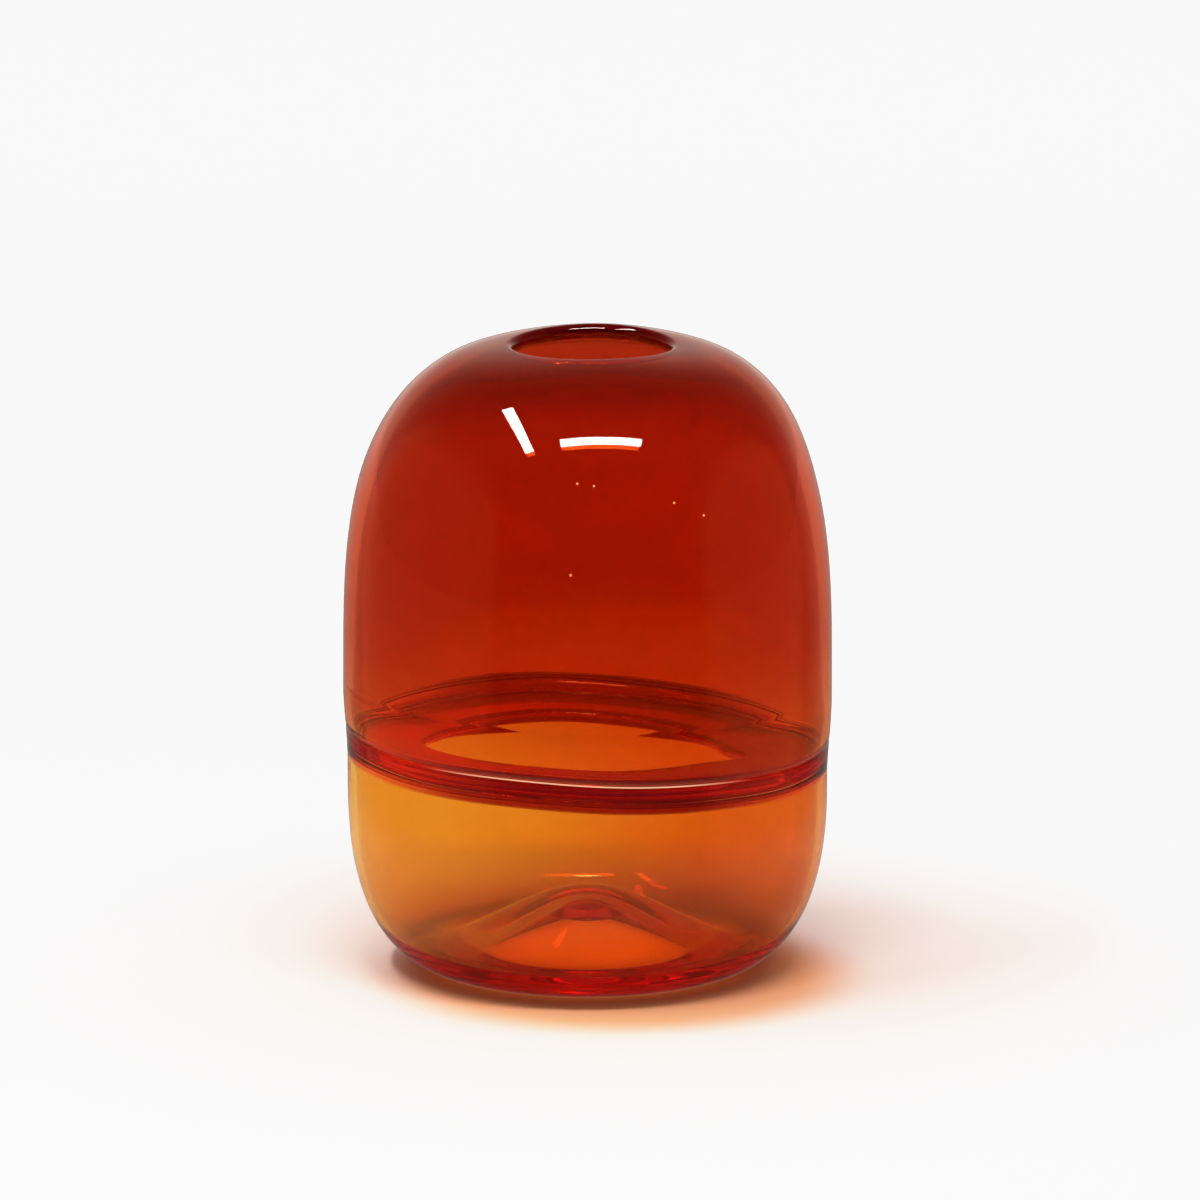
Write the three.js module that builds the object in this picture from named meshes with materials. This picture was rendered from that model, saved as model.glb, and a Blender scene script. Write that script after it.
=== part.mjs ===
// A small mouth-blown bud vase. Two bubbles of coloured glass, a deep red dome and an amber cup, are
// joined end to end while hot. The join is a thick ring with a shelf of glass that reaches inwards round
// a torn hole. The amber cup has a push-up under its base, with the scar of the pontil iron at its middle.
// Millimetres, +Z up. The origin is the middle of the flat foot, on the surface that the vase stands on.
import * as THREE from "three";

// Driving dimensions
const HEIGHT = 125;
const UPPER_RADIUS = 48.3;
const LOWER_RADIUS = 47.45;
const SIDES = 48; // facets round the vase

// The dome, a quarter of a superellipse from the straight wall up to the lip
const DOME_BASE = 57.5;
const DOME_APEX = 125.8; // where the curve would close, if there were no mouth
const DOME_SIDE_POWER = 3.2;
const DOME_TOP_POWER = 3.1;
const DOME_STEPS = 12;

// The mouth
const MOUTH_RADIUS = 16;
const LIP_RADIUS = 1.5;
const LIP_STEPS = 6;
const MOUTH_SHIFT = 1.2; // the mouth sits a little off the axis, towards +X
const NECK_START = 95; // where the dome begins to lean that way

// The heel, a quarter of a superellipse from the flat foot up to the straight wall
const FOOT_OUTER = 28;
const FOOT_INNER = 25;
const HEEL_HEIGHT = 38;
const HEEL_SIDE_POWER = 2.0;
const HEEL_FOOT_POWER = 2.6;
const HEEL_STEPS = 9;

// The push-up under the base, and the floor above it
const PUSH_UP_HEIGHT = 10.5;
const BASE_THICKNESS = 5;
const FLOOR_LOW_RADIUS = 33; // where the floor inside is lowest
const FLOOR_LOW_HEIGHT = 4.6;
const FLOOR_POWER = 0.9; // below 1, the floor falls away from its middle a little later than a cosine
const FLOOR_STEPS = 7;

// The ring where the bubbles join, and its shelf
const RING_BOTTOM = 41.2;
const RING_TOP = 48.2;
const SHELF_TOP = 46;
const SHELF_BOTTOM = 43.8;
const SHELF_SAG = 0.4; // how far the shelf has sunk at the edge of its hole
const SHELF_EDGE_RADIUS = 0.7;
const SHELF_MIDDLE = 0.4; // the point part-way from the hole to the wall that gives the sag its curve
const SHELF_MIDDLE_SAG = 0.32;
const FILLET_STEPS = 4;
const HOLE_RADIUS = 27.4;
const HOLE_SHIFT = new THREE.Vector2(-1.6, 1.1); // how far the hole sits off the axis
// The torn corners of the hole: where they are and how wide, in degrees, and how far they cut in
const CORNERS = [
  { angle: -15, width: 12, reach: 5.8 },
  { angle: -163, width: 25, reach: 3.6 },
];
const SEAM_SLOPE = 0.04; // the whole seam dips towards +X
const SEAM_REACH = 24; // the dip has faded out this far above and below the seam
const SWELL_BELOW = 1.2; // the wall swells from the lower radius to the upper one, from this far below
const SWELL_ABOVE = 6.8; // the ring to this far above it
const JOIN_GAP = 0.3;

// Wall thicknesses
const LOWER_WALL = 1.8;
const SEAM_WALL = 2;
const WALL_STEPS = 3;
const SHOULDER_WALL = 3;

// The pontil scar
const SCAR_RADIUS = 7.5;
const SCAR_THICKNESS = 1.6;
const SCAR_STEPS = 5;

const SEAM_HEIGHT = (SHELF_TOP + SHELF_BOTTOM) / 2;
const LIP_CENTRE = new THREE.Vector2(MOUTH_RADIUS + LIP_RADIUS, HEIGHT - LIP_RADIUS);

const redGlass = new THREE.MeshStandardMaterial({
  name: "red_glass",
  color: 0x9b1603,
  roughness: 0.03,
  metalness: 0,
  transparent: true,
  opacity: 0.6,
});
const amberGlass = new THREE.MeshStandardMaterial({
  name: "amber_glass",
  color: 0xd27a22,
  roughness: 0.03,
  metalness: 0,
  transparent: true,
  opacity: 0.5,
});

// Points from 0 to 1, both ends included
function steps(count) {
  return Array.from({ length: count + 1 }, (_, i) => i / count);
}

function lerp(a, b, share) {
  return a + (b - a) * share;
}

function smooth(share) {
  const s = Math.min(Math.max(share, 0), 1);
  return s * s * (3 - 2 * s);
}

// The outer radius of the straight wall, which swells a little on its way up through the seam
function wallRadius(z) {
  const from = RING_BOTTOM - SWELL_BELOW;
  const to = RING_TOP + SWELL_ABOVE;
  return lerp(LOWER_RADIUS, UPPER_RADIUS, smooth((z - from) / (to - from)));
}

// The outer surface of the straight wall between two heights
function wallPoints(from, to) {
  return steps(WALL_STEPS)
    .map((s) => lerp(from, to, s))
    .map((z) => new THREE.Vector2(wallRadius(z), z));
}

function domePoint(turn) {
  const r = UPPER_RADIUS * Math.cos(turn) ** (2 / DOME_SIDE_POWER);
  const z = DOME_BASE + (DOME_APEX - DOME_BASE) * Math.sin(turn) ** (2 / DOME_TOP_POWER);
  return new THREE.Vector2(r, z);
}

function heelPoint(turn) {
  const r = FOOT_OUTER + (LOWER_RADIUS - FOOT_OUTER) * Math.sin(turn) ** (2 / HEEL_SIDE_POWER);
  const z = HEEL_HEIGHT * (1 - Math.cos(turn) ** (2 / HEEL_FOOT_POWER));
  return new THREE.Vector2(r, z);
}

// An arc of a circle in the profile, angles in degrees from the outward direction
function arc(centre, radius, from, to, count) {
  return steps(count).map((s) => {
    const a = THREE.MathUtils.degToRad(lerp(from, to, s));
    return new THREE.Vector2(centre.x + radius * Math.cos(a), centre.y + radius * Math.sin(a));
  });
}

// The same line of profile points, moved inwards square to the line by a thickness that may vary along it
function inset(points, thicknessAt) {
  return points.map((p, i) => {
    const before = points[Math.max(i - 1, 0)];
    const after = points[Math.min(i + 1, points.length - 1)];
    const along = after.clone().sub(before).normalize();
    const thickness = thicknessAt(i / (points.length - 1));
    return new THREE.Vector2(p.x - along.y * thickness, p.y + along.x * thickness);
  });
}

// Lets the seam dip towards +X, fading out above and below it
function dipSeam(geometry) {
  const at = geometry.getAttribute("position");
  for (let i = 0; i < at.count; i++) {
    const fade = 1 - smooth(Math.abs(at.getZ(i) - SEAM_HEIGHT) / SEAM_REACH);
    at.setZ(i, at.getZ(i) - SEAM_SLOPE * at.getX(i) * fade);
  }
  return geometry;
}

// Leans the top of the dome towards +X
function leanNeck(geometry) {
  const at = geometry.getAttribute("position");
  for (let i = 0; i < at.count; i++) {
    const share = smooth((at.getZ(i) - NECK_START) / (HEIGHT - NECK_START));
    at.setX(i, at.getX(i) + MOUTH_SHIFT * share);
  }
  return geometry;
}

// A closed profile of (radius, height) turned about the Z axis
function turned(points) {
  return new THREE.LatheGeometry(points, SIDES).rotateX(Math.PI / 2);
}

function named(name, geometry, material) {
  const mesh = new THREE.Mesh(geometry, material);
  mesh.name = name;
  return mesh;
}

// The red dome, from the seam ring up to the rounded lip of the mouth
function upperBubble() {
  const lastTurn = Math.acos((LIP_CENTRE.x / UPPER_RADIUS) ** (DOME_SIDE_POWER / 2));
  const foot = RING_TOP + JOIN_GAP / 2;
  const outside = [
    ...wallPoints(foot, DOME_BASE),
    ...steps(DOME_STEPS).slice(1, -1).map((s) => domePoint(s * lastTurn)),
  ];
  const inside = inset(outside, (share) => lerp(SEAM_WALL, SHOULDER_WALL, share));
  inside[0].y = foot;
  const lip = arc(LIP_CENTRE, LIP_RADIUS, 90, 270, LIP_STEPS);
  const profile = [...outside, ...lip, ...inside.reverse()];
  return turned([...profile, profile[0].clone()]);
}

// How far the torn hole in the shelf reaches from the axis, at an angle in degrees from +X
function holeRadius(angle) {
  const turn = THREE.MathUtils.degToRad(angle);
  const round = HOLE_RADIUS + HOLE_SHIFT.x * Math.cos(turn) + HOLE_SHIFT.y * Math.sin(turn);
  return CORNERS.reduce((radius, corner) => {
    const away = ((((angle - corner.angle) % 360) + 540) % 360) - 180;
    return radius + corner.reach * Math.exp(-((away / corner.width) ** 2));
  }, round);
}

// The shelf's inner edge follows the torn hole, and the rest of the shelf stretches to meet it
function tearHole(geometry, wallInside) {
  const at = geometry.getAttribute("position");
  for (let i = 0; i < at.count; i++) {
    const r = Math.hypot(at.getX(i), at.getY(i));
    const share = Math.max(wallInside - r, 0) / (wallInside - HOLE_RADIUS);
    const angle = THREE.MathUtils.radToDeg(Math.atan2(at.getY(i), at.getX(i)));
    const grown = (r + share * (holeRadius(angle) - HOLE_RADIUS)) / r;
    at.setXY(i, at.getX(i) * grown, at.getY(i) * grown);
  }
  return geometry;
}

// The thick ring of the join: a band of the outer wall, with the shelf standing in from it
function seamRing() {
  const wallInside = wallRadius(SEAM_HEIGHT) - SEAM_WALL;
  const upperFillet = RING_TOP - SHELF_TOP;
  const lowerFillet = SHELF_BOTTOM - RING_BOTTOM;
  const middle = lerp(HOLE_RADIUS, wallInside, SHELF_MIDDLE);
  const edge = new THREE.Vector2(HOLE_RADIUS + SHELF_EDGE_RADIUS, SEAM_HEIGHT - SHELF_SAG);
  const bottom = new THREE.Vector2(wallInside - lowerFillet, RING_BOTTOM);
  const top = new THREE.Vector2(wallInside - upperFillet, RING_TOP);
  const profile = [
    ...wallPoints(RING_BOTTOM, RING_TOP),
    ...arc(top, upperFillet, 0, -90, FILLET_STEPS),
    new THREE.Vector2(middle, SHELF_TOP - SHELF_MIDDLE_SAG),
    ...arc(edge, SHELF_EDGE_RADIUS, 90, 270, FILLET_STEPS),
    new THREE.Vector2(middle, SHELF_BOTTOM - SHELF_MIDDLE_SAG),
    ...arc(bottom, lowerFillet, 90, 0, FILLET_STEPS),
  ];
  return tearHole(turned([...profile, profile[0].clone()]), wallInside);
}

// The underside of the push-up, at a distance from the axis
function pushUpHeight(r) {
  return (PUSH_UP_HEIGHT * (1 + Math.cos((Math.PI * r) / FOOT_INNER))) / 2;
}

// The amber cup: flat foot, push-up, rounded heel and straight wall
function lowerBubble() {
  const brim = RING_BOTTOM - JOIN_GAP / 2;
  const pushUp = steps(FLOOR_STEPS)
    .map((s) => FOOT_INNER * s)
    .map((r) => new THREE.Vector2(r, pushUpHeight(r)));
  const heel = steps(HEEL_STEPS).map((s) => heelPoint((s * Math.PI) / 2));
  const outside = [...pushUp, ...heel, new THREE.Vector2(wallRadius(brim), brim)];
  const wallInside = steps(HEEL_STEPS)
    .map((s) => (s * Math.PI) / 2)
    .map((turn) => {
      const outer = heelPoint(turn);
      const share = (outer.x - FOOT_OUTER) / (LOWER_RADIUS - FOOT_OUTER);
      const r = lerp(FLOOR_LOW_RADIUS, LOWER_RADIUS - LOWER_WALL, share);
      const z = lerp(FLOOR_LOW_HEIGHT, HEEL_HEIGHT, outer.y / HEEL_HEIGHT);
      return new THREE.Vector2(r, z);
    });
  const floor = steps(FLOOR_STEPS)
    .slice(1)
    .map((s) => {
      const rise = PUSH_UP_HEIGHT + BASE_THICKNESS - FLOOR_LOW_HEIGHT;
      const share = (1 - Math.cos(Math.PI * s)) / 2;
      const z = FLOOR_LOW_HEIGHT + rise * share ** FLOOR_POWER;
      return new THREE.Vector2(FLOOR_LOW_RADIUS * (1 - s), z);
    });
  const innerBrim = new THREE.Vector2(wallRadius(brim) - LOWER_WALL, brim);
  const inside = [innerBrim, ...wallInside.reverse(), ...floor];
  return turned([...outside, ...inside]);
}

// The scar of the pontil iron: a flat button of glass left in the top of the push-up
function pontilScar() {
  const upper = steps(SCAR_STEPS)
    .map((s) => SCAR_RADIUS * (1 - s))
    .map((r) => new THREE.Vector2(r, pushUpHeight(r) - JOIN_GAP));
  const rim = upper[0].y;
  const lower = steps(SCAR_STEPS).slice(0, -1).map((s) => {
    const z = rim - SCAR_THICKNESS * Math.cos((Math.PI * s) / 2);
    return new THREE.Vector2(SCAR_RADIUS * s, z);
  });
  return turned([...lower, ...upper]);
}

const vase = new THREE.Group();
vase.add(
  named("upper_bubble", leanNeck(dipSeam(upperBubble())), redGlass),
  named("seam_ring", dipSeam(seamRing()), redGlass),
  named("lower_bubble", dipSeam(lowerBubble()), amberGlass),
  named("pontil_scar", pontilScar(), amberGlass),
);

export default vase;
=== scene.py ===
# %% [markdown]
# # A mouth-blown bud vase in two colours of glass
#
# The vase is four gathers of hot glass: a red dome, the thick red ring of the join with its inward shelf,
# an amber cup, and the scar that the pontil iron left underneath. Glass shows everything behind its
# surface, so every wall here has an outside, an inside and a real thickness, and its colour comes from how
# far light travels through it.

# %% Load the frame
import math

import bpy
from mathutils import Matrix, Vector, noise


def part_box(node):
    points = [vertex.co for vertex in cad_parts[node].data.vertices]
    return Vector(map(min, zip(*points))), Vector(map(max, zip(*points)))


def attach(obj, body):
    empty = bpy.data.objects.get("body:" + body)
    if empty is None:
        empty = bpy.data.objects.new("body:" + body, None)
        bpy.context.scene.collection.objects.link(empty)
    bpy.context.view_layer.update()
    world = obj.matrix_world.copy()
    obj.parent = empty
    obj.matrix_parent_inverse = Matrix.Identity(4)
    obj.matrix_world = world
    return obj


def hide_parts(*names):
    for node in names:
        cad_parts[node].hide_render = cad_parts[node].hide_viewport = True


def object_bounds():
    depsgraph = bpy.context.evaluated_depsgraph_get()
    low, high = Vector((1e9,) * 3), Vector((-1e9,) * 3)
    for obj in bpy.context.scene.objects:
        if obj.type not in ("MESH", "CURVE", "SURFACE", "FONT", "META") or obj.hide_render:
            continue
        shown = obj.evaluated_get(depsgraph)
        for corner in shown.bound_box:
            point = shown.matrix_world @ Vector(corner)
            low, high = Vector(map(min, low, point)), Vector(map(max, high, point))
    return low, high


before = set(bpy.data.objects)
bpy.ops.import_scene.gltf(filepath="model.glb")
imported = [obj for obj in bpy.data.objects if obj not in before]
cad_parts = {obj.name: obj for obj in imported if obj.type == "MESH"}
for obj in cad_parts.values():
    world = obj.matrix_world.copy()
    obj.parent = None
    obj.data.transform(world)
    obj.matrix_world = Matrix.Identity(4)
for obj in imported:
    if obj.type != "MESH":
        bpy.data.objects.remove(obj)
cad_low, cad_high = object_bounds()
print("CAD box in mm:", [round(1000 * v, 1) for v in (*cad_low, *cad_high)])

# %% [markdown]
# ## The camera
#
# A long lens a few metres away, looking down at the vase by about 13 degrees. The long lens keeps the
# ovals of the mouth and the seam nearly parallel, as in catalogue pictures of glass.

# %% The camera
VIEW_DOWN = math.radians(12.94)
CAMERA_DISTANCE = 3.5
FRAME_WIDTH = 0.2364
LOOK_AT = Vector((0.0025, 0.0, 0.0732))

camera_data = bpy.data.cameras.new("camera")
camera = bpy.data.objects.new("camera", camera_data)
bpy.context.scene.collection.objects.link(camera)
camera_data.sensor_width = 36
camera_data.lens = camera_data.sensor_width * CAMERA_DISTANCE / FRAME_WIDTH
camera_data.clip_end = 30
away = Vector((0, -math.cos(VIEW_DOWN), math.sin(VIEW_DOWN)))
camera.location = LOOK_AT + away * CAMERA_DISTANCE
camera.rotation_euler = away.to_track_quat("Z", "Y").to_euler()
bpy.context.scene.camera = camera
print("lens in mm:", round(camera_data.lens))

# %% [markdown]
# ## The studio
#
# Glass has hardly any look of its own: it shows the room. So the room comes first. The vase stands on a
# wide pale sheet in a white light tent whose open front and roof are dark. What the glass mirrors is kept
# dimmer than what it shows through itself, so its front doesn't grey over. Two strip lamps above give the
# crisp highlights on the shoulder.

# %% Helpers for materials
def new_material(name):
    material = bpy.data.materials.new(name)
    material.use_nodes = True
    material.node_tree.nodes.clear()
    return material


def add_node(material, kind, **values):
    node = material.node_tree.nodes.new(kind)
    for socket, value in values.items():
        node.inputs[socket.replace("_", " ")].default_value = value
    return node


def join(material, source, target):
    material.node_tree.links.new(source, target)


def add_shaders(material, first, second):
    node = add_node(material, "ShaderNodeAddShader")
    join(material, first, node.inputs[0])
    join(material, second, node.inputs[1])
    return node.outputs["Shader"]


def math_node(material, operation, first, second=None, clamp=False):
    node = material.node_tree.nodes.new("ShaderNodeMath")
    node.operation = operation
    node.use_clamp = clamp
    for socket, value in zip(node.inputs, (first, second)):
        if isinstance(value, (int, float)):
            socket.default_value = value
        elif value is not None:
            join(material, value, socket)
    return node.outputs[0]


# %% Helpers for colours that change from place to place
def ramp(material, value, start, end, low, high):
    """A soft step: low up to start, high past end."""
    node = add_node(material, "ShaderNodeMapRange")
    node.interpolation_type = "SMOOTHSTEP"
    for socket, number in zip(("From Min", "From Max", "To Min", "To Max"), (start, end, low, high)):
        node.inputs[socket].default_value = number
    join(material, value, node.inputs["Value"])
    return node.outputs["Result"]


def mix_colours(material, share, first, second):
    node = add_node(material, "ShaderNodeMix")
    node.data_type = "RGBA"
    node.clamp_factor = True
    join(material, share, node.inputs["Factor"])
    for socket, colour in ((node.inputs[6], first), (node.inputs[7], second)):
        if isinstance(colour, tuple):
            socket.default_value = (*colour, 1)
        else:
            join(material, colour, socket)
    return node.outputs[2]


def mirrored_ray(material):
    """1 for a ray that the glass reflects, 0 for one that it lets through."""
    rays = add_node(material, "ShaderNodeLightPath")
    passed = math_node(material, "SUBTRACT", 1.0, rays.outputs["Is Transmission Ray"])
    return math_node(material, "MULTIPLY", rays.outputs["Is Glossy Ray"], passed)


# %% [markdown]
# ### The floor
#
# A wide sheet of pale paper, matt, that runs on behind the vase as the background. Red and amber glass
# throws its own colour round its foot. Real caustics would need very many samples, so the paper's colour
# does it: orange close to the heel, pink further out, a little stronger in front. Under the push-up the
# paper also shines faintly, for the light that the thick base gathers there. Rays that the glass mirrors
# pass through the sheet, because the mirrored light comes from the room below, by direction.

# %% The floor
FLOOR_SIZE = 16
FLOOR_GAP = 0.0001
PAPER_WHITE = (0.93, 0.93, 0.93)
PINK_CAST = (0.93, 0.73, 0.66)
ORANGE_CAST = (0.9, 0.4, 0.2)
CAST_MIDDLE = (0.006, -0.012, 0)
FAR_GLOW = 0.5
FOOT_GLOW = 0.9

bpy.ops.object.select_all(action="DESELECT")
bpy.ops.mesh.primitive_plane_add(size=FLOOR_SIZE, location=(0, 0, -FLOOR_GAP))
floor = bpy.context.object
floor.name = "floor"

paper = new_material("floor_paper")
paper_place = add_node(paper, "ShaderNodeTexCoord")
distance = add_node(paper, "ShaderNodeVectorMath")
distance.operation = "LENGTH"
join(paper, paper_place.outputs["Object"], distance.inputs[0])
reach = distance.outputs["Value"]
from_cast = add_node(paper, "ShaderNodeVectorMath")
from_cast.operation = "DISTANCE"
from_cast.inputs[1].default_value = CAST_MIDDLE
join(paper, paper_place.outputs["Object"], from_cast.inputs[0])
cast_reach = from_cast.outputs["Value"]
cast = mix_colours(paper, ramp(paper, cast_reach, 0.04, 0.17, 1, 0), PAPER_WHITE, PINK_CAST)
near_cast = mix_colours(paper, ramp(paper, cast_reach, 0.035, 0.053, 1, 0), cast, ORANGE_CAST)
paper_shader = add_node(paper, "ShaderNodeBsdfDiffuse")
join(paper, near_cast, paper_shader.inputs["Color"])
# Further out the paper glows by itself: painted light that brightens the far floor and the background.
far_light = add_node(paper, "ShaderNodeEmission")
join(paper, ramp(paper, reach, 0.15, 0.9, 0.0, FAR_GLOW), far_light.inputs["Strength"])
foot_light = add_node(paper, "ShaderNodeEmission", Color=(1, 0.36, 0.1, 1))
join(paper, ramp(paper, reach, 0.01, 0.036, FOOT_GLOW, 0.0), foot_light.inputs["Strength"])
glows = add_shaders(paper, far_light.outputs["Emission"], foot_light.outputs["Emission"])
lit_paper = add_shaders(paper, paper_shader.outputs["BSDF"], glows)
through = add_node(paper, "ShaderNodeBsdfTransparent")
missed = math_node(paper, "MULTIPLY", mirrored_ray(paper), ramp(paper, reach, 0.08, 0.2, 0.8, 1.0))
paper_surface = add_node(paper, "ShaderNodeMixShader")
join(paper, missed, paper_surface.inputs[0])
join(paper, lit_paper, paper_surface.inputs[1])
join(paper, through.outputs["BSDF"], paper_surface.inputs[2])
paper_out = add_node(paper, "ShaderNodeOutputMaterial")
join(paper, paper_surface.outputs["Shader"], paper_out.inputs["Surface"])
floor.data.materials.append(paper)
print("floor", FLOOR_SIZE, "m across,", FLOOR_GAP * 1000, "mm under the foot")

# %% [markdown]
# ### The lamps
#
# Two narrow strip lamps hang above, one across the front and one along the left side. Each is a rectangle
# that faces the vase. They are small enough to show as two crisp bars on the shoulder, and they cast the
# shadow.

# %% The strip lamps
LAMP_HEIGHT = 0.615


def strip_lamp(name, start, end, width, power):
    start, end = Vector(start), Vector(end)
    data = bpy.data.lights.new(name, "AREA")
    data.shape = "RECTANGLE"
    data.size = (end - start).length
    data.size_y = width
    data.energy = power
    lamp = bpy.data.objects.new(name, data)
    bpy.context.scene.collection.objects.link(lamp)
    middle = (start + end) / 2
    along = (end - start).normalized()
    across = middle.cross(along).normalized()
    turn = Matrix((along, across, along.cross(across))).transposed()
    lamp.matrix_world = Matrix.Translation(middle) @ turn.to_4x4()
    print(name, "is", round(data.size, 2), "m long")
    return lamp


strip_lamp("front_strip", (-0.12, -0.247, LAMP_HEIGHT), (0.22, -0.237, LAMP_HEIGHT), 0.05, 2.2)
strip_lamp("side_strip", (-0.263, 0.087, LAMP_HEIGHT), (-0.273, -0.273, LAMP_HEIGHT), 0.04, 1.9)

# %% [markdown]
# ### The room
#
# The room is a background whose light depends on who asks. What is seen directly or through the glass is
# an even white. The floor is lit mostly from above. What the glass mirrors is a tent that is bright behind
# the vase, fades upwards and downwards, and has faint warm screens on the left and right.

# %% What each kind of ray sees
ROOM_WHITE = (0.8, 0.8, 0.8)
MIRRORED_WHITE = (0.8, 0.76, 0.66)

room = bpy.data.worlds.new("white_room")
room.use_nodes = True
room.node_tree.nodes.clear()
direction = add_node(room, "ShaderNodeTexCoord")
parts = add_node(room, "ShaderNodeSeparateXYZ")
join(room, direction.outputs["Generated"], parts.inputs["Vector"])
across, back, up = parts.outputs
rays = add_node(room, "ShaderNodeLightPath")
mirrored = mirrored_ray(room)

# %% The tent that the glass mirrors
level = math_node(room, "SQRT", math_node(room, "SUBTRACT", 1.0, math_node(room, "POWER", up, 2.0)))
turned_back = math_node(room, "DIVIDE", back, level)
straight = ramp(room, turned_back, 0.45, 1.0, 0.0, 1.0)
straight.node.interpolation_type = "LINEAR"
straight.node.clamp = True
behind = math_node(room, "POWER", straight, 2.0)
above = math_node(room, "POWER", math_node(room, "SUBTRACT", 1.0, up, clamp=True), 2.6)
below = math_node(room, "POWER", math_node(room, "ADD", 1.0, up, clamp=True), 4.6)
tent = math_node(room, "MULTIPLY", behind, math_node(room, "MULTIPLY", above, below))
faint_sides = ramp(room, back, -0.7, 0.0, 0.0, 0.045)
tent = math_node(room, "ADD", tent, faint_sides)
to_left = ramp(room, across, -0.76, -0.66, 0.4, 0.0)
to_right = ramp(room, across, 0.8, 0.88, 0.0, 0.4)
low_down = ramp(room, up, 0.4, 0.7, 1, 0)
beside = math_node(room, "MULTIPLY", math_node(room, "ADD", to_left, to_right), low_down)

# %% The light on the floor, and the room put together
from_above = ramp(room, up, 0.45, 0.95, 0.15, 1.3)
from_behind = ramp(room, back, -0.3, 0.6, 0.0, 0.5)
seen_or_lit = add_node(room, "ShaderNodeMix")
join(room, rays.outputs["Is Diffuse Ray"], seen_or_lit.inputs["Factor"])
seen_or_lit.inputs["A"].default_value = 1.0
join(room, math_node(room, "ADD", from_above, from_behind), seen_or_lit.inputs["B"])
brightness = add_node(room, "ShaderNodeMix")
join(room, mirrored, brightness.inputs["Factor"])
join(room, seen_or_lit.outputs["Result"], brightness.inputs["A"])
join(room, tent, brightness.inputs["B"])
white_glow = add_node(room, "ShaderNodeBackground")
join(room, mix_colours(room, mirrored, ROOM_WHITE, MIRRORED_WHITE), white_glow.inputs["Color"])
join(room, brightness.outputs["Result"], white_glow.inputs["Strength"])
warm_glow = add_node(room, "ShaderNodeBackground", Color=(1, 0.25, 0.09, 1))
join(room, math_node(room, "MULTIPLY", mirrored, beside), warm_glow.inputs["Strength"])
both_glows = add_shaders(room, white_glow.outputs["Background"], warm_glow.outputs["Background"])
room_out = add_node(room, "ShaderNodeOutputWorld")
join(room, both_glows, room_out.inputs["Surface"])
scene = bpy.context.scene
scene.world = room
scene.view_settings.view_transform = "Standard"
print("the room has", len(room.node_tree.nodes), "nodes")

# %% [markdown]
# ### The picture
#
# The pale sheet is lit a little past white, as in most pictures of glass. Film and cameras let such light
# fade out softly, and a curve on the picture does the same: straight up to a middle grey, then a soft
# shoulder.

# %% The soft shoulder
BRIGHTEST = 1.6
scene.view_settings.use_curve_mapping = True
picture_curve = scene.view_settings.curve_mapping
picture_curve.white_level = (BRIGHTEST, BRIGHTEST, BRIGHTEST)
shoulder = picture_curve.curves[3]
for light, shown in ((0.7, 0.7), (0.9, 0.86), (1.1, 0.935)):
    shoulder.points.new(light / BRIGHTEST, shown)
shoulder.points[-1].location = (1, 0.97)
for point in shoulder.points:
    point.handle_type = "VECTOR"
picture_curve.update()
print("light up to", BRIGHTEST, "times white keeps its shape")

# %% [markdown]
# Light passes through eight surfaces or more of the vase and is mirrored inside the thick ring and base
# before it reaches the floor or the room. So the renderer is allowed many more bounces than usual, and
# light that has come through glass is kept.

# %% Bounces
GLASS_BOUNCES = 40
scene.cycles.max_bounces = GLASS_BOUNCES
scene.cycles.transmission_bounces = GLASS_BOUNCES
scene.cycles.glossy_bounces = GLASS_BOUNCES
scene.cycles.transparent_max_bounces = 24
scene.cycles.sample_clamp_indirect = 20
scene.cycles.caustics_refractive = True
scene.cycles.caustics_reflective = True
scene.cycles.use_denoising = True
print("up to", GLASS_BOUNCES, "bounces in the glass")

# %% [markdown]
# ## The sizes of the vase
#
# Metres, like everything in Blender, with the outer sizes read from the frame. The outline is a dome and a
# heel, each a quarter of a superellipse, a curve squarer than an ellipse that a bubble takes when it is
# shaped in a wet wooden block. Between them the wall is straight, apart from a slight swell and a fine
# groove at the seam. The gathers stand a hair apart where they are fused, so that no two skins lie in one
# plane.

# %% Sizes
MM = 0.001
SIDES = 216
HEIGHT = cad_high.z
UPPER_RADIUS = cad_high.y
LOWER_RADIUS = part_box("lower_bubble")[1].y
DOME_BASE = 57.5 * MM
DOME_APEX = HEIGHT + 0.8 * MM
DOME_SIDE_POWER = 3.2
DOME_TOP_POWER = 3.1
RING_TOP = 48.2 * MM
RING_BOTTOM = 41.2 * MM
SEAM_HEIGHT = 44.9 * MM
GROOVE_HEIGHT = 47.15 * MM
GROOVE_WIDTH = 0.38 * MM
GROOVE_DEPTH = 0.36 * MM
SWELL_BELOW = 1.2 * MM
SWELL_ABOVE = 6.8 * MM
FUSED_GAP = 0.02 * MM
print("height", HEIGHT, "upper radius", UPPER_RADIUS, "lower radius", LOWER_RADIUS)

# %% Helpers for outlines
def lerp(a, b, share):
    return a + (b - a) * share


def smooth(share):
    s = min(max(share, 0.0), 1.0)
    return s * s * (3 - 2 * s)


def shares(count):
    return [i / count for i in range(count + 1)]


def wall_radius(z):
    low = RING_BOTTOM - SWELL_BELOW
    high = RING_TOP + SWELL_ABOVE
    groove = GROOVE_DEPTH * math.exp(-(((z - GROOVE_HEIGHT) / GROOVE_WIDTH) ** 2))
    return lerp(LOWER_RADIUS, UPPER_RADIUS, smooth((z - low) / (high - low))) - groove


def wall(low, high, count):
    return [(wall_radius(lerp(low, high, s)), lerp(low, high, s)) for s in shares(count)]


def arc(centre, radius, start, end, count):
    turns = [math.radians(lerp(start, end, s)) for s in shares(count)]
    return [(centre[0] + radius * math.cos(t), centre[1] + radius * math.sin(t)) for t in turns]


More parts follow.
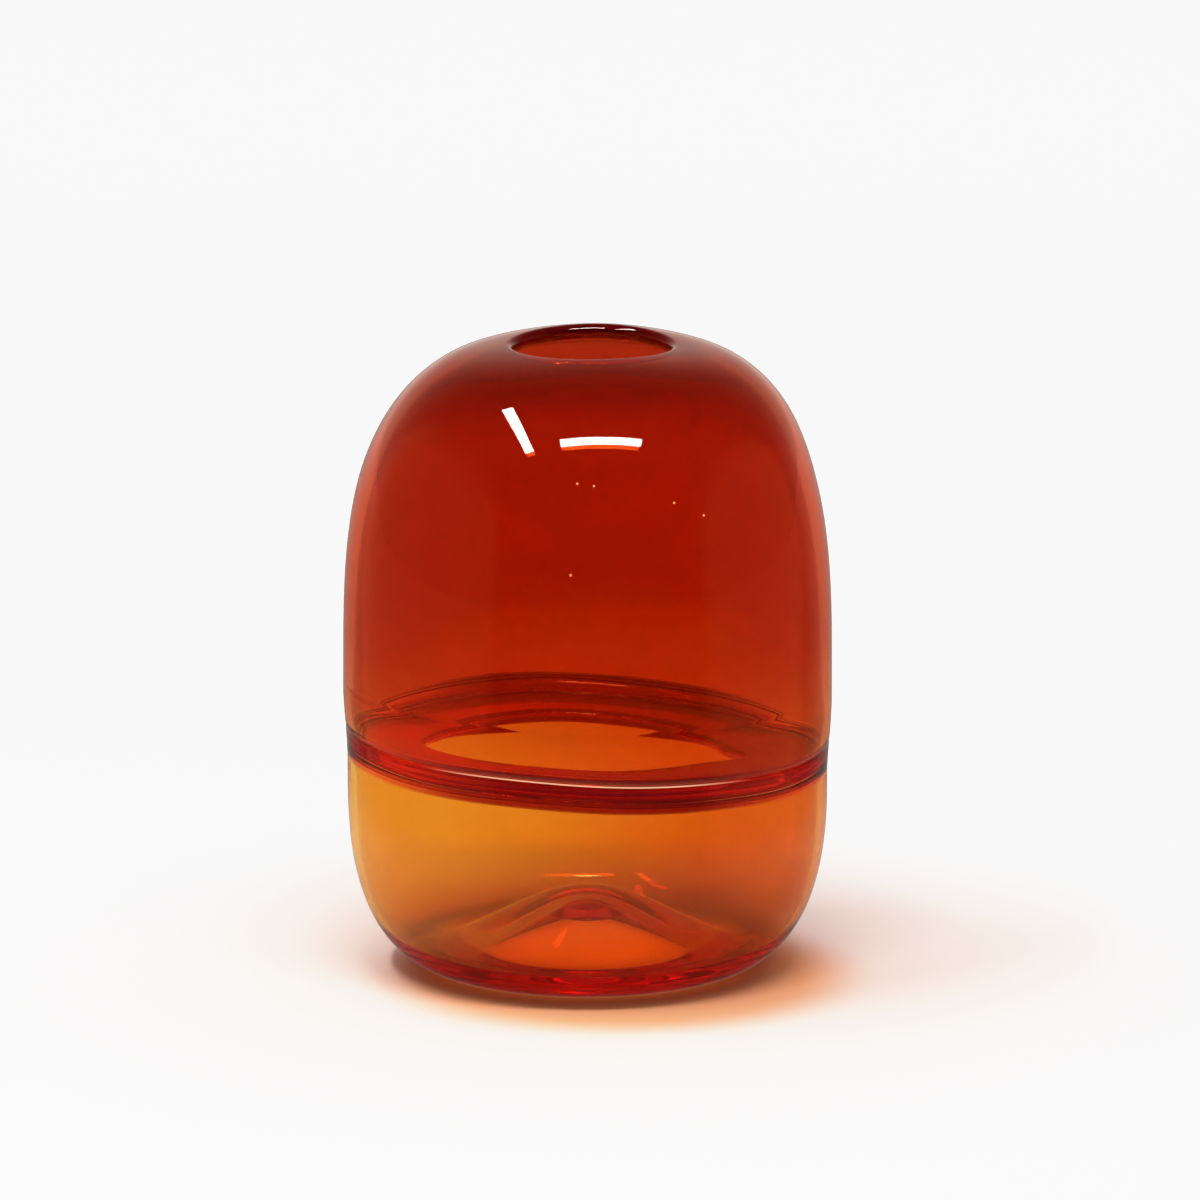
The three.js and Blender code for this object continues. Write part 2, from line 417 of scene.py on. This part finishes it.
def inset(outline, thickness):
    """The outline moved square to itself by a thickness that may vary along it."""
    inner = []
    for i, point in enumerate(outline):
        before = outline[max(i - 1, 0)]
        after = outline[min(i + 1, len(outline) - 1)]
        along = Vector((after[0] - before[0], after[1] - before[1])).normalized()
        deep = thickness(i / (len(outline) - 1))
        inner.append((point[0] - along.y * deep, point[1] + along.x * deep))
    return inner


# %% [markdown]
# ## How a bubble is modelled
#
# A gaffer blows a bubble on a turning pipe, so every piece is round about one axis. Blender's spin tool
# could turn a drawn outline into such a shape. Here a ring of edges is pulled along the outline instead:
# extruded, moved and scaled, over and over, the way the glass itself is drawn out. It keeps the rings
# level and evenly divided, and the outside, the lip and the inside become one closed skin with a true wall
# thickness.

# %% Pulling a ring along an outline
def pull_ring(start, end):
    growth = end[0] / start[0]
    rise = (0, 0, end[1] - start[1])
    bpy.ops.mesh.extrude_region_move(TRANSFORM_OT_translate={"value": rise})
    bpy.ops.transform.resize(value=(growth, growth, 1), center_override=(0, 0, end[1]))


def select_ring(piece, radius, z):
    bpy.ops.mesh.select_all(action="DESELECT")
    bpy.ops.object.mode_set(mode="OBJECT")
    for vertex in piece.data.vertices:
        near = abs(vertex.co.xy.length - radius) < 0.001 * MM
        vertex.select = near and abs(vertex.co.z - z) < 0.001 * MM
    bpy.ops.object.mode_set(mode="EDIT")


def blow(name, outline, poles):
    """Pulls a ring along an outline of (radius, height) points. With poles its ends close on the axis."""
    bpy.ops.object.select_all(action="DESELECT")
    bpy.ops.mesh.primitive_circle_add(vertices=SIDES, radius=outline[0][0], location=(0, 0, outline[0][1]))
    piece = bpy.context.object
    piece.name = name
    bpy.ops.object.transform_apply(location=True, rotation=False, scale=False)
    bpy.ops.object.mode_set(mode="EDIT")
    bpy.ops.mesh.select_all(action="SELECT")
    for start, end in zip(outline, outline[1:]):
        pull_ring(start, end)
    if poles:
        bpy.ops.mesh.merge(type="CENTER")
        select_ring(piece, *outline[0])
        bpy.ops.mesh.merge(type="CENTER")
    bpy.ops.mesh.select_all(action="SELECT")
    bpy.ops.mesh.remove_doubles(threshold=0.002 * MM)
    bpy.ops.mesh.normals_make_consistent(inside=False)
    bpy.ops.object.mode_set(mode="OBJECT")
    print(name, "has", len(piece.data.polygons), "faces")
    return piece


# %% [markdown]
# ## Hand-made, not turned
#
# No blown vase is quite round. These moves are worked on the finished skins, as with a sculpting brush:
# the seam dips to one side and waves a little, the mouth leans, and the walls swell and sink by a few
# tenths of a millimetre. Each move reads only a place in space, so pieces that touch move together and
# stay fused. After it the piece is smoothed, given its glass and hung on the root, and the part that it
# stands for is hidden.

# %% Moves that all pieces share
SEAM_SLOPE = 0.04
SEAM_REACH = 24 * MM
NECK_START = 95 * MM
MOUTH_SHIFT = Vector((0.9 * MM, 1.5 * MM))
MOUTH_DROOP = 0.6 * MM
LIP_WAVE = 0.12 * MM
LIP_REACH = 14 * MM
WOBBLE = 0.2 * MM
WOBBLES_PER_METRE = 28
ALMOST_NOTHING = 0.01 * MM


def seam_dip(place):
    """The seam dips to the right, and waves as it goes round."""
    turn = math.atan2(place.y, place.x)
    fade = 1 - smooth(abs(place.z - SEAM_HEIGHT) / SEAM_REACH)
    wave = 0.22 * MM * math.sin(3 * turn + 0.6) + 0.1 * MM * math.sin(7 * turn + 2)
    return fade * (wave * place.xy.length / UPPER_RADIUS - SEAM_SLOPE * place.x)


def lip_droop(place):
    """The mouth sinks a little on its left and right, and waves."""
    turn = math.atan2(place.y, place.x)
    high = smooth((place.z - 112 * MM) / (10 * MM))
    near = 1 - smooth((place.xy.length - 16 * MM) / LIP_REACH)
    wave = LIP_WAVE * (1 + math.sin(3 * turn + 1.2)) / 2
    return high * near * (MOUTH_DROOP * math.cos(turn) ** 2 + wave)


def hand_made(piece):
    for vertex in piece.data.vertices:
        place = vertex.co.copy()
        high = smooth(place.z / (20 * MM)) * (1 - smooth((place.z - 118 * MM) / (6 * MM)))
        sink = WOBBLE * high * (0.5 + 0.5 * noise.noise(place * WOBBLES_PER_METRE + Vector((3, 1, 7))))
        radius = max(place.xy.length, ALMOST_NOTHING)
        vertex.co.x *= 1 - sink / radius
        vertex.co.y *= 1 - sink / radius
        high_up = smooth((place.z - NECK_START) / (HEIGHT - NECK_START))
        vertex.co.x += MOUTH_SHIFT.x * high_up
        vertex.co.y += MOUTH_SHIFT.y * high_up
        vertex.co.z += seam_dip(place) - lip_droop(place)
    piece.data.update()


def mark_fused(piece, heights):
    """Marks the level faces at the given heights, where this piece is fused to its neighbour."""
    fused = piece.data.attributes.new("fused", "FLOAT", "FACE")
    for face in piece.data.polygons:
        level = abs(face.normal.z) > 0.98
        there = any(abs(face.center.z - z) < 0.01 * MM for z in heights)
        fused.data[face.index].value = 1.0 if level and there else 0.0


def finish_piece(piece, material, node):
    bpy.ops.object.select_all(action="DESELECT")
    piece.select_set(True)
    bpy.context.view_layer.objects.active = piece
    bpy.ops.object.shade_smooth_by_angle(angle=math.radians(35))
    piece.data.materials.clear()
    piece.data.materials.append(material)
    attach(piece, "root")
    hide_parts(node)


# %% [markdown]
# ## The glass
#
# Coloured glass takes away a share of the light for every millimetre that the light travels through it.
# That is a Volume Absorption, which deepens the colour of the thick ring and the base. Most of the colour
# sits in a thin flashed layer on the skin, so the skin has a tint as well, which changes from place to
# place, partly as the layer thins and thickens and partly as painted light and shade, with faint streaks
# where the melt was unevenly mixed. The skin is polished and a little wavy, and it glows where the mesh
# marks a painted highlight. Where two gathers are fused the skin neither bends light nor takes colour
# from it, so light passes straight on from one glass into the other.

# %% One recipe for every glass
GLASS_BEND = 1.5
NO_TINT = (1, 1, 1)
STREAK_SQUASH = 2.0
PALEST_STREAK = 0.955
RIPPLES_PER_METRE = 26
PAINTED_HIGHLIGHT_COLOUR = (1, 0.7, 0.42, 1)


def streaked_tint(material, place, tint, streak_scale):
    stretch = add_node(material, "ShaderNodeMapping", Scale=(1, 1, STREAK_SQUASH))
    join(material, place, stretch.inputs["Vector"])
    streaks = add_node(
        material, "ShaderNodeTexNoise", Scale=streak_scale, Detail=3, Roughness=0.55, Distortion=0.8
    )
    join(material, stretch.outputs["Vector"], streaks.inputs["Vector"])
    streaked = add_node(material, "ShaderNodeVectorMath")
    streaked.operation = "SCALE"
    join(material, tint, streaked.inputs[0])
    faint = ramp(material, streaks.outputs["Fac"], 0.3, 0.7, PALEST_STREAK, 1.0)
    join(material, faint, streaked.inputs["Scale"])
    return streaked.outputs["Vector"]


def rippled_normal(material, place):
    ripple = add_node(material, "ShaderNodeTexNoise", Scale=RIPPLES_PER_METRE, Detail=1, Roughness=0.4)
    join(material, place, ripple.inputs["Vector"])
    bump = add_node(material, "ShaderNodeBump", Strength=0.08, Distance=0.0006)
    join(material, ripple.outputs["Fac"], bump.inputs["Height"])
    return bump.outputs["Normal"]


def marked(material, name):
    """A mark that the mesh itself carries, 0 where it has none."""
    mark = add_node(material, "ShaderNodeAttribute")
    mark.attribute_name = name
    return mark.outputs["Fac"]


def blown_glass(name, taken, tint_nodes, streak_scale):
    """taken is what one millimetre takes off red, green and blue, as natural logarithms."""
    material = new_material(name)
    place = add_node(material, "ShaderNodeTexCoord").outputs["Object"]
    tint = streaked_tint(material, place, tint_nodes(material, place), streak_scale)
    fused = marked(material, "fused")
    unbent = math_node(material, "MULTIPLY", fused, GLASS_BEND - 1)
    skin = add_node(
        material, "ShaderNodeBsdfPrincipled", Roughness=0.0, IOR=GLASS_BEND, Transmission_Weight=1
    )
    join(material, mix_colours(material, fused, tint, NO_TINT), skin.inputs["Base Color"])
    join(material, math_node(material, "SUBTRACT", GLASS_BEND, unbent), skin.inputs["IOR"])
    join(material, rippled_normal(material, place), skin.inputs["Normal"])
    # The skin glows where the mesh marks a painted highlight.
    skin.inputs["Emission Color"].default_value = PAINTED_HIGHLIGHT_COLOUR
    join(material, marked(material, "painted_highlight"), skin.inputs["Emission Strength"])
    density = max(taken) / MM
    shade = [1 - t / max(taken) for t in taken]
    inside = add_node(material, "ShaderNodeVolumeAbsorption", Color=(*shade, 1), Density=density)
    out = add_node(material, "ShaderNodeOutputMaterial")
    join(material, skin.outputs["BSDF"], out.inputs["Surface"])
    join(material, inside.outputs["Volume"], out.inputs["Volume"])
    return material


# %% [markdown]
# ### Where each glass is deep or pale
#
# Each tint is what light keeps of red, green and blue on its way through one wall. Mixing a few tints by
# place follows partly how the gathers were worked and partly painted light and shade, and it needs no
# image texture.

# %% The tints
def off_axis(material, place):
    """How far a place is from the vase's axis."""
    level = add_node(material, "ShaderNodeVectorMath")
    level.operation = "MULTIPLY"
    level.inputs[1].default_value = (1, 1, 0)
    join(material, place, level.inputs[0])
    length = add_node(material, "ShaderNodeVectorMath")
    length.operation = "LENGTH"
    join(material, level.outputs["Vector"], length.inputs[0])
    return length.outputs["Value"]


def red_tint(material, place):
    """The red skin is stretched thin beside the seam, deeper higher up, and darkest at the far side of the
    shoulder.
    """
    parts = add_node(material, "ShaderNodeSeparateXYZ")
    join(material, place, parts.inputs["Vector"])
    z = parts.outputs["Z"]
    body = mix_colours(material, ramp(material, z, 0.05, 0.07, 0, 1), (0.7, 0.2, 0.05), (0.575, 0.095, 0.02))
    crown = mix_colours(material, ramp(material, z, 0.1, 0.124, 0, 1), body, (0.55, 0.085, 0.02))
    far_side = ramp(material, parts.outputs["Y"], 0.0, 0.02, 0, 1)
    shoulder = math_node(material, "MULTIPLY", far_side, ramp(material, z, 0.095, 0.115, 0, 1))
    return mix_colours(material, shoulder, crown, (0.31, 0.02, 0.007))


def seam_tint(material, place):
    """The band in the wall is doubled glass, darkest in front and lightened at its left and right ends by
    painted light. The shelf is paler on the left and darker to the right, a painted shade.
    """
    parts = add_node(material, "ShaderNodeSeparateXYZ")
    join(material, place, parts.inputs["Vector"])
    across = parts.outputs["X"]
    out = off_axis(material, place)
    # The shelf is darker to the right: painted shade.
    to_right = ramp(material, across, -0.035, 0.035, 0, 1)
    shelf = mix_colours(material, to_right, (1, 0.03, 0.01), (0.55, 0.02, 0.01))
    # The band is lighter towards its left and right ends: painted light, so its sides don't render near
    # black.
    aside = ramp(material, math_node(material, "ABSOLUTE", across), 0.02, 0.048, 0, 1)
    band = mix_colours(material, aside, (0.22, 0.03, 0.02), (0.9, 0.3, 0.15))
    return mix_colours(material, ramp(material, out, 0.044, 0.047, 0, 1), shelf, band)


def amber_tint(material, place):
    """Deeper round the back of the cup from left to right, even at the front, darker at the heel and pale
    over the push-up. The deepening to the right is partly uneven colour and partly painted shade, the cup's
    own coloured shadow on the floor behind it. The pale push-up is painted light, for light that gets under
    the base.
    """
    parts = add_node(material, "ShaderNodeSeparateXYZ")
    join(material, place, parts.inputs["Vector"])
    turn = math_node(material, "ARCTAN2", parts.outputs["X"], parts.outputs["Y"])
    # Darker to the right round the back: partly uneven colour, partly painted shade of the cup's coloured
    # shadow behind.
    colour_and_shade_to_right = mix_colours(material, ramp(material, turn, -0.9, 0.8, 0, 1), (0.9, 0.66, 0.18), (0.76, 0.2, 0.035))
    front = ramp(material, math_node(material, "ABSOLUTE", turn), 1.3, 2.2, 0, 1)
    wall_tint = mix_colours(material, front, colour_and_shade_to_right, (0.75, 0.4, 0.12))
    low_down = ramp(material, parts.outputs["Z"], 0.001, 0.012, 1, 0)
    heel = mix_colours(material, low_down, wall_tint, (0.7, 0.2, 0.06))
    # Paler over the push-up: painted light for the light that gets under the base.
    inner = ramp(material, off_axis(material, place), 0.028, 0.037, 1, 0)
    kick = math_node(material, "MULTIPLY", inner, ramp(material, parts.outputs["Z"], 0.016, 0.02, 1, 0))
    return mix_colours(material, kick, heel, (1, 0.85, 0.6))


def scar_tint(material, place):
    """The cracked-off button is dark red on the side where more red glass clung to it."""
    parts = add_node(material, "ShaderNodeSeparateXYZ")
    join(material, place, parts.inputs["Vector"])
    to_right = ramp(material, parts.outputs["X"], -0.004, 0.006, 0, 1)
    return mix_colours(material, to_right, (0.8, 0.3, 0.1), (0.6, 0.08, 0.03))


# %% The four glasses
red_glass = blown_glass("red_glass", (0.01, 0.08, 0.2), red_tint, 55)
seam_glass = blown_glass("seam_glass", (0.004, 0.08, 0.2), seam_tint, 70)
amber_glass = blown_glass("amber_glass", (0.005, 0.06, 0.25), amber_tint, 45)
scar_glass = blown_glass("scar_glass", (0.02, 0.2, 0.5), scar_tint, 180)
print("glasses:", red_glass.name, seam_glass.name, amber_glass.name, scar_glass.name)

# %% [markdown]
# ## The red dome
#
# The upper bubble, open at the bottom where it meets the ring. Its wall is thin beside the seam, where the
# bubble was stretched most, and thicker from there up. The rim was cracked off the pipe and melted round
# in the fire, which leaves it smooth, half a circle in section. A lathe would need the inside drawn by
# hand, so the inside is the outside moved inwards square to itself, which keeps the wall's thickness true
# on the curved shoulder.

# %% The red dome
MOUTH_RADIUS = 15.3 * MM
SEAM_WALL = 1.8 * MM
LIP_THICKNESS = 3 * MM
LIP_SLOPE = 10
DOME_RINGS = 52
TOP_SPREAD = 0.8


def dome_point(turn):
    r = UPPER_RADIUS * math.cos(turn) ** (2 / DOME_SIDE_POWER)
    z = DOME_BASE + (DOME_APEX - DOME_BASE) * math.sin(turn) ** (2 / DOME_TOP_POWER)
    return r, z


lip_centre = (MOUTH_RADIUS + LIP_THICKNESS / 2, HEIGHT - LIP_THICKNESS / 2)
lip = arc(lip_centre, LIP_THICKNESS / 2, 90 - LIP_SLOPE, 270 - LIP_SLOPE, 18)
last_turn = math.acos((lip[0][0] / UPPER_RADIUS) ** (DOME_SIDE_POWER / 2))
dome_foot = RING_TOP + FUSED_GAP / 2
dome_outside = wall(dome_foot, DOME_BASE, 12)
dome_outside += [dome_point(s**TOP_SPREAD * last_turn) for s in shares(DOME_RINGS)[1:-1]]
dome_inside = inset(dome_outside, lambda s: lerp(SEAM_WALL, LIP_THICKNESS, smooth(s / 0.4)))
dome_inside[0] = (dome_outside[0][0] - SEAM_WALL, dome_foot)
dome_outline = dome_outside + lip + dome_inside[::-1]
red_dome = blow("red_dome", [*dome_outline, dome_outline[0]], poles=False)

# %% [markdown]
# ### Seeds
#
# Seeds are tiny bubbles trapped in the wall of the dome. Each is a small sphere whose faces look inwards,
# so that it is a hole in the glass. A seed gathers light like a lens, and a little light of its own stands
# in for that.

# %% Seeds
SEED_RADIUS = 0.22 * MM
SEED_DEPTH = 1.3 * MM
SEED_PAINTED_GLINT = 2.0
# Degrees round from the front, and millimetres up
SEEDS = [(-3, 105.6), (1.5, 105.2), (23, 101.5), (31, 98.6), (-4, 88.6)]


def dome_radius(z):
    share = max((z - DOME_BASE) / (DOME_APEX - DOME_BASE), 0)
    return UPPER_RADIUS * math.cos(math.asin(share ** (DOME_TOP_POWER / 2))) ** (2 / DOME_SIDE_POWER)


first_seed = len(red_dome.data.vertices)
for angle, up_mm in SEEDS:
    turn = math.radians(angle)
    depth = dome_radius(up_mm * MM) - SEED_DEPTH
    place = (depth * math.sin(turn), -depth * math.cos(turn), up_mm * MM)
    bpy.ops.object.select_all(action="DESELECT")
    bpy.ops.mesh.primitive_ico_sphere_add(subdivisions=2, radius=SEED_RADIUS, location=place)
    bpy.ops.object.mode_set(mode="EDIT")
    bpy.ops.mesh.select_all(action="SELECT")
    bpy.ops.mesh.flip_normals()
    bpy.ops.object.mode_set(mode="OBJECT")
    red_dome.select_set(True)
    bpy.context.view_layer.objects.active = red_dome
    bpy.ops.object.join()
# Each seed carries a painted glint, a little glow of its own.
seed_painted_glint = red_dome.data.attributes.new("painted_highlight", "FLOAT", "POINT")
for vertex in red_dome.data.vertices:
    seed_painted_glint.data[vertex.index].value = SEED_PAINTED_GLINT if vertex.index >= first_seed else 0.0
print("red_dome with its seeds has", len(red_dome.data.polygons), "faces")

# %% The dome, worked by hand
mark_fused(red_dome, [dome_foot])
hand_made(red_dome)
finish_piece(red_dome, red_glass, "upper_bubble")

# %% [markdown]
# ## The seam ring
#
# Where the two hot bubbles were pushed together their rims doubled up and ran inwards, into a shelf with a
# torn, fire-rounded hole. It is modelled as a band of the wall with the shelf standing in from it, with
# soft fillets where they meet, and the hole is then torn by pulling its edge out at two corners. Pulling
# keeps the rings whole, where cutting the hole would leave a ragged edge to mend. A fine groove runs round
# the outside, and along its lower edge in front a thin bright line is a painted highlight: the mesh marks
# it, and the skin glows there.

# %% The seam ring
SHELF_TOP = 46 * MM
SHELF_BOTTOM = 43.8 * MM
SHELF_SAG = 0.4 * MM
HOLE_RADIUS = 27.4 * MM
HOLE_SHIFT = Vector((-1.6 * MM, 1.1 * MM))
# The torn corners: their direction and width in degrees, and how far they cut in
CORNERS = [(-15, 12, 5.8 * MM), (-163, 25, 3.6 * MM)]
EDGE_RADIUS = (SHELF_TOP - SHELF_BOTTOM) / 2
PAINTED_LINE_HEIGHT = 46.75 * MM
PAINTED_LINE_WIDTH = 0.24 * MM
PAINTED_LINE_INSIDE = 45 * MM
SEAM_PAINTED_HIGHLIGHT = 0.8
PAINTED_LINE_TURN = 20
PAINTED_LINE_FADE = 24


def hole_radius(turn):
    round_hole = HOLE_RADIUS + HOLE_SHIFT.dot(Vector((math.cos(turn), math.sin(turn))))
    for corner, width, reach in CORNERS:
        apart = (math.degrees(turn) - corner + 180) % 360 - 180
        round_hole += reach * math.exp(-((apart / width) ** 2))
    return round_hole


wall_inside = wall_radius(RING_TOP) - SEAM_WALL
brim_inside = wall_radius(RING_BOTTOM) - SEAM_WALL
upper_fillet = RING_TOP - SHELF_TOP
lower_fillet = SHELF_BOTTOM - RING_BOTTOM
shelf_edge = (HOLE_RADIUS + EDGE_RADIUS, SEAM_HEIGHT - SHELF_SAG)
top_start = (wall_inside - upper_fillet, SHELF_TOP)
top_end = (shelf_edge[0], shelf_edge[1] + EDGE_RADIUS)
bottom_start = (shelf_edge[0], shelf_edge[1] - EDGE_RADIUS)
bottom_end = (brim_inside - lower_fillet, SHELF_BOTTOM)
low, high = RING_BOTTOM + FUSED_GAP / 2, RING_TOP - FUSED_GAP / 2


def sagging(start, end, count):
    return [(lerp(start[0], end[0], s), lerp(start[1], end[1], smooth(s))) for s in shares(count)[1:-1]]


ring_outline = wall(low, high, 60)
ring_outline += arc((wall_inside - upper_fillet, high), upper_fillet, 0, -90, 12)
ring_outline += sagging(top_start, top_end, 14)
ring_outline += arc(shelf_edge, EDGE_RADIUS, 90, 270, 12)
ring_outline += sagging(bottom_start, bottom_end, 14)
ring_outline += arc((brim_inside - lower_fillet, low), lower_fillet, 90, 0, 12)
seam_shelf = blow("seam_shelf", [*ring_outline, ring_outline[0]], poles=False)
mark_fused(seam_shelf, [low, high])
# The bright line is a painted highlight: the skin glows along the lower edge of the groove, most in front.
painted_highlight = seam_shelf.data.attributes.new("painted_highlight", "FLOAT", "POINT")
for vertex in seam_shelf.data.vertices:
    outside = vertex.co.xy.length > PAINTED_LINE_INSIDE
    in_line = outside and abs(vertex.co.z - PAINTED_LINE_HEIGHT) < PAINTED_LINE_WIDTH / 2
    from_front = abs(math.degrees(math.atan2(vertex.co.x, -vertex.co.y)))
    fade = 1 - smooth((from_front - PAINTED_LINE_TURN) / PAINTED_LINE_FADE)
    painted_highlight.data[vertex.index].value = SEAM_PAINTED_HIGHLIGHT * fade if in_line else 0.0
print("the gleam is", round(PAINTED_LINE_WIDTH / MM, 2), "mm wide")

# %% The torn hole
for vertex in seam_shelf.data.vertices:
    flat = vertex.co.xy
    share = max(wall_inside - flat.length, 0) / (wall_inside - HOLE_RADIUS)
    turn = math.atan2(flat.y, flat.x)
    grown = (flat.length + share * (hole_radius(turn) - HOLE_RADIUS)) / flat.length
    vertex.co.x *= grown
    vertex.co.y *= grown
hand_made(seam_shelf)
finish_piece(seam_shelf, seam_glass, "seam_ring")

# %% [markdown]
# ## The amber cup
#
# The lower bubble: a thin straight wall, a heavy rounded heel where the glass gathered, a flat ring to
# stand on, and a base that was pushed up from below so that the vase can't rock. Its underside and its
# floor are two different curves, because the floor inside stays rounder than the tool that pushed it up,
# so each has its own formula and the thickness follows from them.

# %% The amber cup
FOOT_OUTER = 28 * MM
FOOT_INNER = 25 * MM
HEEL_HEIGHT = 38 * MM
HEEL_SIDE_POWER = 2.0
HEEL_FOOT_POWER = 2.6
PUSH_UP_HEIGHT = 10.5 * MM
FLOOR_LOW_RADIUS = 33 * MM
FLOOR_LOW_HEIGHT = 4.6 * MM
FLOOR_POWER = 0.9
FLOOR_TOP = 15.5 * MM
LOWER_WALL = 1.8 * MM
POLE = 0.3 * MM


def heel_point(turn):
    r = FOOT_OUTER + (LOWER_RADIUS - FOOT_OUTER) * math.sin(turn) ** (2 / HEEL_SIDE_POWER)
    z = HEEL_HEIGHT * (1 - math.cos(turn) ** (2 / HEEL_FOOT_POWER))
    return r, z


def push_up(r):
    return PUSH_UP_HEIGHT * (1 + math.cos(math.pi * min(r / FOOT_INNER, 1))) / 2


def heel_inside(turn):
    outer = heel_point(turn)
    share = (outer[0] - FOOT_OUTER) / (LOWER_RADIUS - FOOT_OUTER)
    r = lerp(FLOOR_LOW_RADIUS, LOWER_RADIUS - LOWER_WALL, share)
    return r, lerp(FLOOR_LOW_HEIGHT, HEEL_HEIGHT, outer[1] / HEEL_HEIGHT)


def floor_point(s):
    share = (1 - math.cos(math.pi * s)) / 2
    return max(FLOOR_LOW_RADIUS * (1 - s), POLE), lerp(FLOOR_LOW_HEIGHT, FLOOR_TOP, share**FLOOR_POWER)


brim = RING_BOTTOM - FUSED_GAP / 2
turns = [math.pi / 2 * s for s in shares(40)]
cup_outline = [(max(FOOT_INNER * s, POLE), push_up(FOOT_INNER * s)) for s in shares(24)]
cup_outline += [heel_point(t) for t in turns]
cup_outline += wall(HEEL_HEIGHT, brim, 6)[1:]
cup_outline += [(wall_radius(brim) - SEAM_WALL, brim)]
cup_outline += [heel_inside(t) for t in turns[::-1]]
cup_outline += [floor_point(s) for s in shares(30)[1:]]
amber_cup = blow("amber_cup", cup_outline, poles=True)
mark_fused(amber_cup, [brim])
hand_made(amber_cup)
finish_piece(amber_cup, amber_glass, "lower_bubble")

# %% [markdown]
# ## The pontil scar
#
# While the mouth was being finished the vase was held from below on an iron, stuck on with a button of hot
# glass. Cracked off, it left a flat button under the push-up. The button is a shallow dome below and
# follows the underside of the push-up above, a little clear of it.

# %% The pontil scar
SCAR_RADIUS = 7.5 * MM
SCAR_THICKNESS = 1.6 * MM
SCAR_GAP = 0.3 * MM
SCAR_RINGS = 16
scar_rim = push_up(SCAR_RADIUS) - SCAR_GAP


def scar_below(s):
    return max(SCAR_RADIUS * s, POLE), scar_rim - SCAR_THICKNESS * math.cos(math.pi / 2 * s)


def scar_above(s):
    r = SCAR_RADIUS * (1 - s)
    return max(r, POLE), push_up(r) - SCAR_GAP


scar_outline = [scar_below(s) for s in shares(SCAR_RINGS)]
scar_outline += [scar_above(s) for s in shares(SCAR_RINGS)[1:]]
pontil_button = blow("pontil_button", scar_outline, poles=True)
finish_piece(pontil_button, scar_glass, "pontil_scar")
